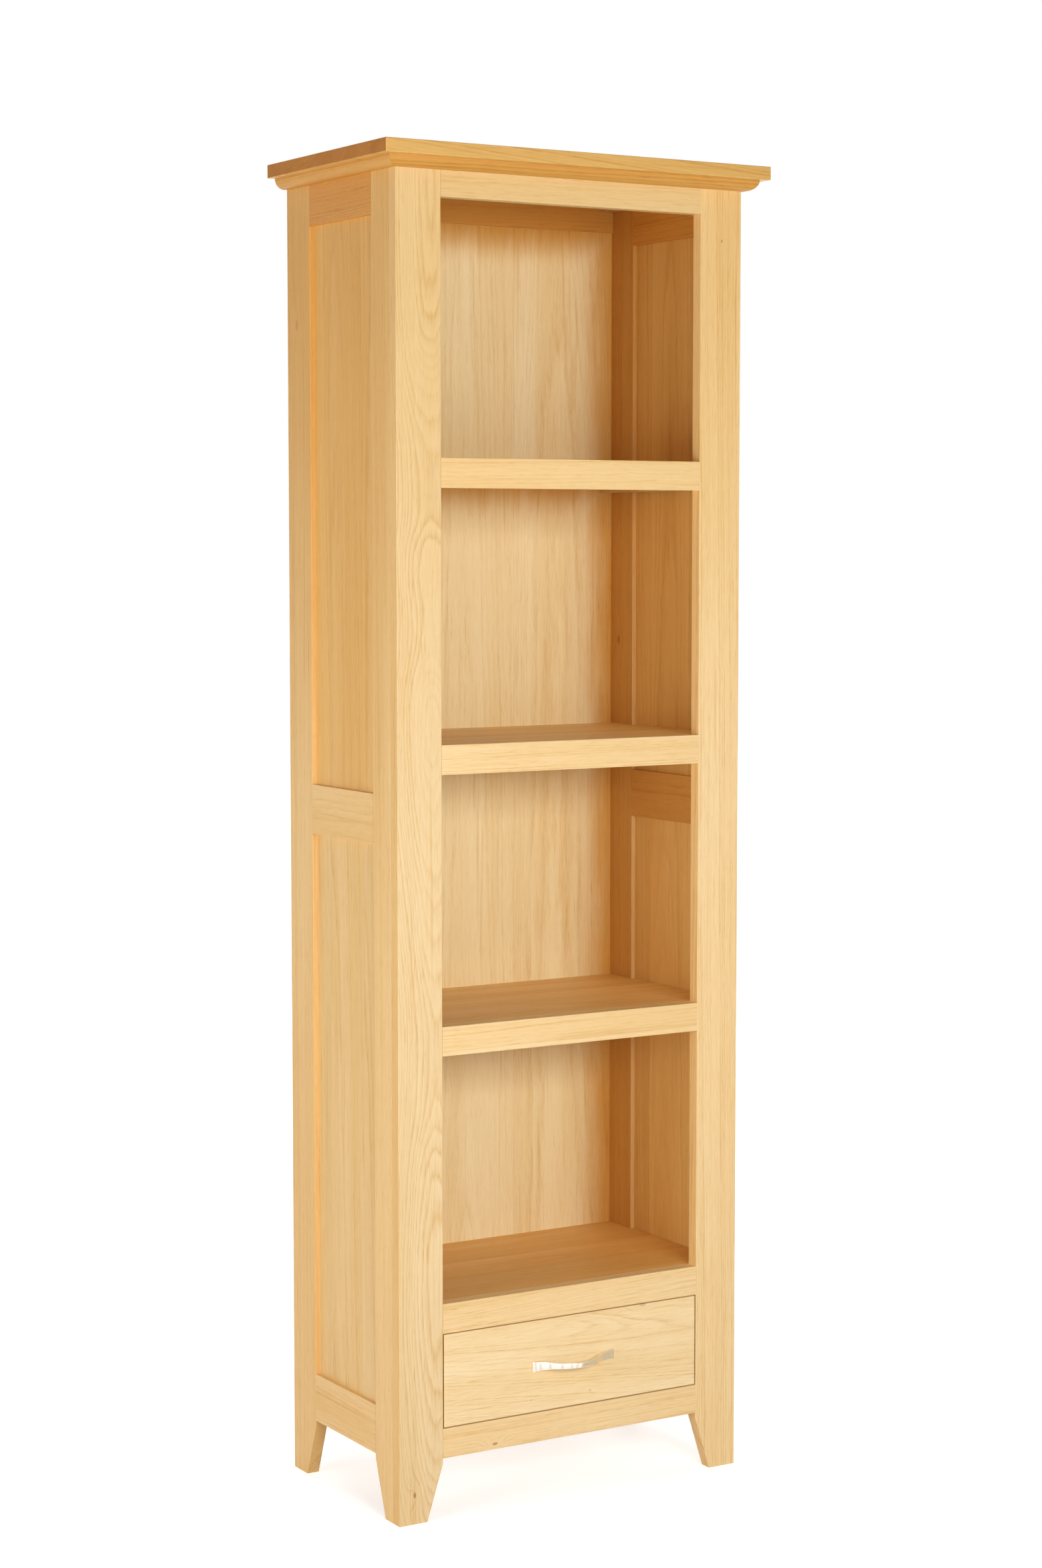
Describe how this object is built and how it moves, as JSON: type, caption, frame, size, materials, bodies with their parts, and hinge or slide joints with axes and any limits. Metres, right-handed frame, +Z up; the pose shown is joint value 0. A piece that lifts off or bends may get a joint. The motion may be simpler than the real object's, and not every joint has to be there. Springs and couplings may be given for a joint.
{
  "type": "bookcase",
  "caption": "Tall narrow oak bookcase: open shelves in a face frame over a single inset drawer, panelled sides, moulded cornice and tapered feet.",
  "frame": {"origin": "on the floor, at the middle of the overall width and depth", "axes": "+X to the right seen from the front, +Y from front to back, +Z up"},
  "size_m": [0.594, 0.335, 1.8],
  "materials": {
    "oak_face_frame": "satin clear lacquer over pale golden oak",
    "oak_side_frame": "satin clear lacquer over pale golden oak",
    "oak_panel": "satin clear lacquer over oak veneer",
    "oak_top": "satin clear lacquer over pale golden oak",
    "oak_shelf": "satin clear lacquer over pale golden oak",
    "oak_drawer_front": "satin clear lacquer over pale golden oak",
    "drawer_box_wood": "sanded and sealed pale wood",
    "secondary_wood": "planed, unlacquered wood",
    "satin_nickel": "satin nickel plate",
    "zinc_screw": "zinc plate"
  },
  "bodies": {
    "carcass": {"top_board": "oak_top", "cornice_front": "oak_top", "cornice_left": "oak_top", "cornice_right": "oak_top", "front_stile_left": "oak_face_frame", "front_stile_right": "oak_face_frame", "header_rail": "oak_face_frame", "shelf_rail_upper": "oak_face_frame", "shelf_rail_middle": "oak_face_frame", "shelf_rail_lower": "oak_face_frame", "drawer_rail": "oak_face_frame", "bottom_rail": "oak_face_frame", "side_front_stile_left": "oak_side_frame", "side_front_stile_right": "oak_side_frame", "side_rear_stile_left": "oak_side_frame", "side_rear_stile_right": "oak_side_frame", "side_top_rail_left": "oak_side_frame", "side_top_rail_right": "oak_side_frame", "side_mid_rail_left": "oak_side_frame", "side_mid_rail_right": "oak_side_frame", "side_bottom_rail_left": "oak_side_frame", "side_bottom_rail_right": "oak_side_frame", "side_upper_panel_left": "oak_panel", "side_upper_panel_right": "oak_panel", "side_lower_panel_left": "oak_panel", "side_lower_panel_right": "oak_panel", "back_panel": "oak_panel", "back_top_rail": "oak_shelf", "back_bottom_rail": "secondary_wood", "shelf_upper": "oak_shelf", "shelf_middle": "oak_shelf", "shelf_lower": "oak_shelf", "drawer_cover_board": "oak_shelf", "shelf_bearer_upper_left": "secondary_wood", "shelf_bearer_upper_right": "secondary_wood", "shelf_bearer_middle_left": "secondary_wood", "shelf_bearer_middle_right": "secondary_wood", "shelf_bearer_lower_left": "secondary_wood", "shelf_bearer_lower_right": "secondary_wood", "top_batten_left": "secondary_wood", "top_batten_right": "secondary_wood", "top_screws": "zinc_screw", "drawer_runner_left": "secondary_wood", "drawer_runner_right": "secondary_wood", "drawer_guide_left": "secondary_wood", "drawer_guide_right": "secondary_wood", "drawer_kicker_left": "secondary_wood", "drawer_kicker_right": "secondary_wood", "drawer_stop_left": "secondary_wood", "drawer_stop_right": "secondary_wood"},
    "drawer": {"drawer_front": "oak_drawer_front", "drawer_side_left": "drawer_box_wood", "drawer_side_right": "drawer_box_wood", "drawer_back": "drawer_box_wood", "drawer_bottom": "drawer_box_wood", "drawer_handle": "satin_nickel", "handle_screws": "zinc_screw"}
  },
  "joints": [
    {"name": "drawer_slide", "type": "slide", "parent": "carcass", "child": "drawer", "axis": [0, -1, 0], "range_m": [0, 0.2]}
  ]
}
